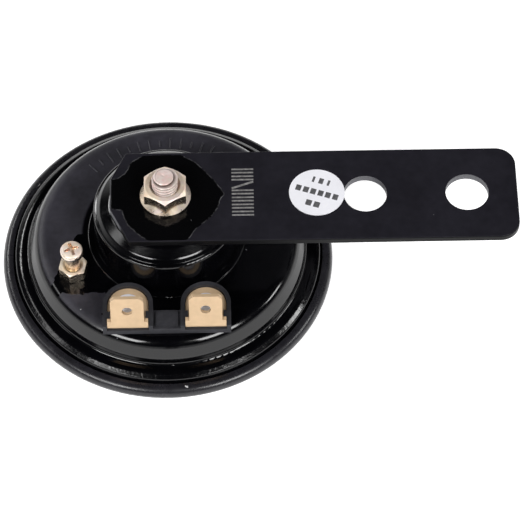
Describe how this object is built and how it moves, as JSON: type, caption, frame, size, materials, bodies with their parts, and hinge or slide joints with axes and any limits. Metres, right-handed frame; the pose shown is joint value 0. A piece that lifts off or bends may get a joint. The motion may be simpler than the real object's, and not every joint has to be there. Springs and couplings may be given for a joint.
{
  "type": "car horn",
  "caption": "Disc electric horn with a flat strap bracket, a flange nut, blade terminals, an adjusting screw and a slotted front face.",
  "frame": {"origin": "on the horn's axis, in the plane of the front face, on which the horn lies", "axes": "+Z towards the back of the horn, where the stud and terminals are; +X along the strap bracket; the terminals are on the -Y side"},
  "size_m": [0.1002, 0.065, 0.0347],
  "materials": {
    "black_enamel": "gloss enamel, baked on",
    "bracket_paint": "satin black",
    "zinc_yellow": "bright zinc with a yellow passivation tint",
    "screw_zinc": "yellow zinc",
    "bare_steel": "turned",
    "spring_steel": "rolled",
    "disc_steel": "zinc plated",
    "gasket_fibre": "plain",
    "insulating_fibre": "plain",
    "bobbin_plastic": "moulded",
    "block_plastic": "moulded black",
    "enamelled_copper": "lacquered wire",
    "terminal_brass": "bright rolled",
    "leaf_bronze": "rolled",
    "contact_metal": "ground",
    "nickel": "bright nickel",
    "label_paper": "matt white"
  },
  "bodies": {
    "horn": {"rear_housing": "black_enamel", "front_cover": "black_enamel", "mounting_bracket": "bracket_paint", "front_gasket": "gasket_fibre", "rear_gasket": "gasket_fibre", "diaphragm": "spring_steel", "pole_core": "zinc_yellow", "coil_bobbin": "bobbin_plastic", "coil_winding": "enamelled_copper", "breaker_base": "bare_steel", "upper_insulator": "insulating_fibre", "middle_insulator": "insulating_fibre", "lower_insulator": "insulating_fibre", "contact_leaf": "leaf_bronze", "fixed_contact": "contact_metal", "contact_carrier": "terminal_brass", "adjuster_pad": "insulating_fibre", "breaker_rivets": "bare_steel", "weld_nut": "bare_steel", "adjusting_screw": "screw_zinc", "lock_nut": "screw_zinc", "terminal_block": "block_plastic", "terminal_insulator": "insulating_fibre", "terminal_left": "terminal_brass", "terminal_right": "terminal_brass", "terminal_rivet_left": "nickel", "terminal_rivet_right": "nickel", "solder_tag_left": "terminal_brass", "solder_tag_right": "terminal_brass", "coil_start_wire": "enamelled_copper", "coil_end_wire": "enamelled_copper", "leaf_wire": "enamelled_copper", "flange_nut": "zinc_yellow", "round_label": "label_paper"},
    "moving_core": {"armature": "bare_steel", "disc_spacer": "bare_steel", "tone_disc": "disc_steel", "disc_nut": "bare_steel"},
    "breaker_arm": {"contact_arm": "terminal_brass", "arm_button": "insulating_fibre", "moving_contact": "contact_metal"}
  },
  "joints": [
    {"name": "armature_stroke", "type": "slide", "parent": "horn", "child": "moving_core", "axis": [0, 0, 1], "range_m": [0, 0.0006], "stiffness_N_per_m": 3000, "deforming": ["diaphragm"]},
    {"name": "breaker_flex", "type": "hinge", "parent": "horn", "child": "breaker_arm", "pos_m": [-0.0181, 0.0028, 0.01358], "axis": [-1, 0, 0], "range_deg": [0, 6], "deforming": ["contact_leaf"]}
  ],
  "couplings": [
    {"joint": "breaker_flex", "follows": "armature_stroke", "rad_per_m": 147.06}
  ]
}
